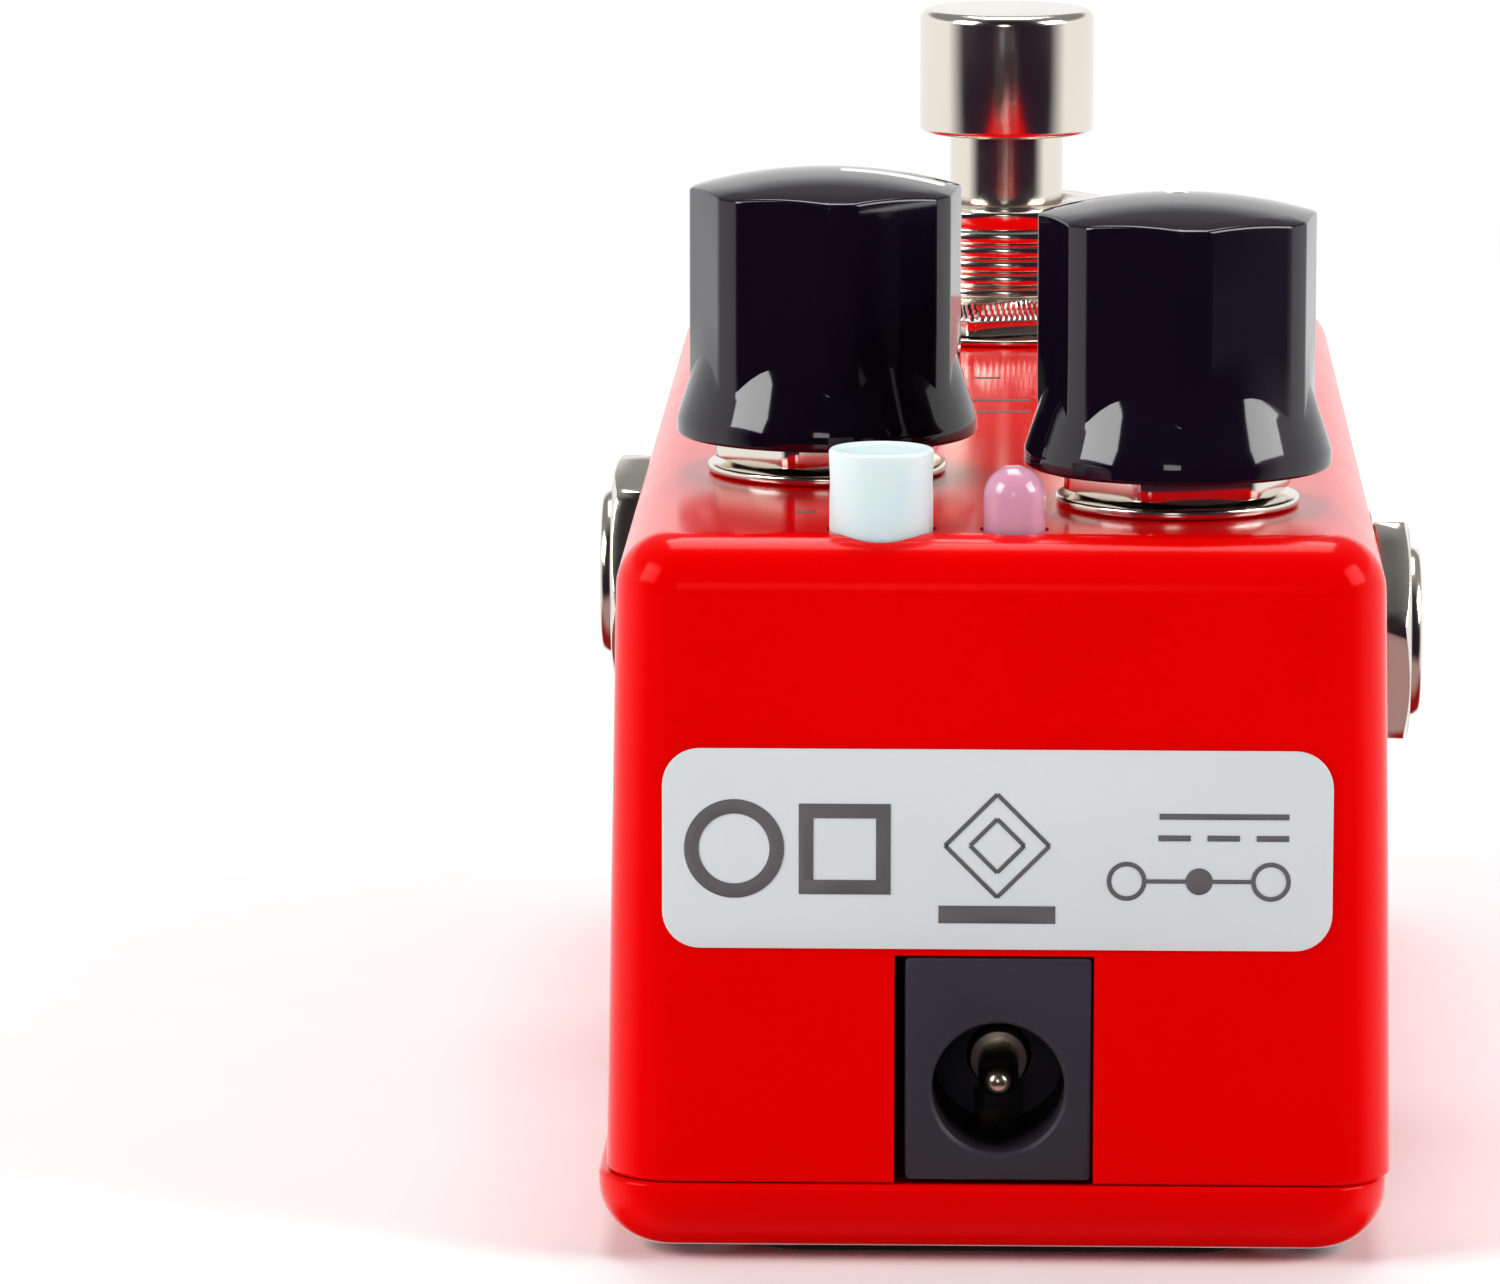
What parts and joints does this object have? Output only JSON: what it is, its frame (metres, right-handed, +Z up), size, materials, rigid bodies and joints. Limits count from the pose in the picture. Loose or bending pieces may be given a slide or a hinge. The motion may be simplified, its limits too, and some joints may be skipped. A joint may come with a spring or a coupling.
{
  "type": "guitar effects pedal",
  "caption": "Compact floor effects pedal: red die-cast box with knobs, a push button, a lamp, a latching footswitch, side audio sockets and an end power socket.",
  "frame": {"origin": "middle of the underside of the base pad, on the floor", "axes": "+Z up, +Y along the box from the power socket end to the footswitch end, +X to the side of the front audio socket"},
  "size_m": [0.0432, 0.0922, 0.0533],
  "materials": {
    "red_paint": "gloss powder coat on die-cast metal, light orange peel",
    "rubber": "matt black sheet rubber, fine grain",
    "label_film": "silver polyester label film, satin, printed in grey",
    "board_green": "glass-epoxy circuit board under green solder mask",
    "black_plastic": "moulded black plastic, satin",
    "gloss_black": "glossy moulded black plastic",
    "white_ink": "white filled line",
    "white_plastic": "milky translucent white plastic",
    "lamp_lens": "frosted milky lamp lens",
    "nickel": "bright nickel plate",
    "steel": "zinc plated steel",
    "brass": "plated brass contacts",
    "capacitor_sleeve": "dark sleeve on an aluminium can",
    "cable_grey": "grey flat cable insulation"
  },
  "bodies": {
    "chassis": {"enclosure_body": "red_paint", "bottom_lid": "red_paint", "base_pad": "rubber", "lid_screw_front_left": "steel", "lid_screw_front_right": "steel", "lid_screw_rear_left": "steel", "lid_screw_rear_right": "steel", "left_pot_case": "steel", "right_pot_case": "steel", "button_spring": "steel", "lamp_lead_positive": "steel", "lamp_lead_negative": "steel", "footswitch_frame": "steel", "footswitch_lock_washer": "steel", "footswitch_spring": "steel", "rating_label": "label_film", "main_board": "board_green", "control_board": "board_green", "footswitch_board": "board_green", "board_header": "black_plastic", "amplifier_chip": "black_plastic", "button_switch_case": "black_plastic", "left_jack_housing": "black_plastic", "right_jack_housing": "black_plastic", "power_socket_housing": "black_plastic", "footswitch_case": "black_plastic", "filter_capacitor": "capacitor_sleeve", "ribbon_cable": "cable_grey", "lamp_lens": "lamp_lens", "left_pot_bushing": "nickel", "right_pot_bushing": "nickel", "left_pot_washer": "nickel", "right_pot_washer": "nickel", "left_pot_nut": "nickel", "right_pot_nut": "nickel", "left_jack_bushing": "nickel", "right_jack_bushing": "nickel", "left_jack_washer": "nickel", "right_jack_washer": "nickel", "left_jack_nut": "nickel", "right_jack_nut": "nickel", "footswitch_bushing": "nickel", "footswitch_inner_nut": "nickel", "footswitch_washer": "nickel", "footswitch_nut": "nickel", "left_jack_tip_spring": "brass", "right_jack_tip_spring": "brass", "power_socket_pin": "brass", "power_socket_contact": "brass", "footswitch_terminals": "brass"},
    "left_knob_turning": {"left_knob": "gloss_black", "left_knob_pointer": "white_ink", "left_pot_shaft": "steel"},
    "right_knob_turning": {"right_knob": "gloss_black", "right_knob_pointer": "white_ink", "right_pot_shaft": "steel"},
    "push_button": {"button_cap": "white_plastic", "button_plunger": "black_plastic"},
    "footswitch_plunger": {"footswitch_button": "nickel"}
  },
  "joints": [
    {"name": "left_knob_turn", "type": "hinge", "parent": "chassis", "child": "left_knob_turning", "pos_m": [-0.0088, -0.0227, 0.04], "axis": [0, 0, -1], "range_deg": [-70, 230]},
    {"name": "right_knob_turn", "type": "hinge", "parent": "chassis", "child": "right_knob_turning", "pos_m": [0.0086, -0.0329, 0.04], "axis": [0, 0, -1], "range_deg": [0, 300]},
    {"name": "button_press", "type": "slide", "parent": "chassis", "child": "push_button", "axis": [0, 0, -1], "range_m": [0, 0.0016], "stiffness_N_per_m": 60, "springref_m": -0.02, "deforming": ["button_spring"]},
    {"name": "footswitch_press", "type": "slide", "parent": "chassis", "child": "footswitch_plunger", "axis": [0, 0, -1], "range_m": [0, 0.0025], "stiffness_N_per_m": 1500, "springref_m": -0.006, "deforming": ["footswitch_spring"]}
  ]
}
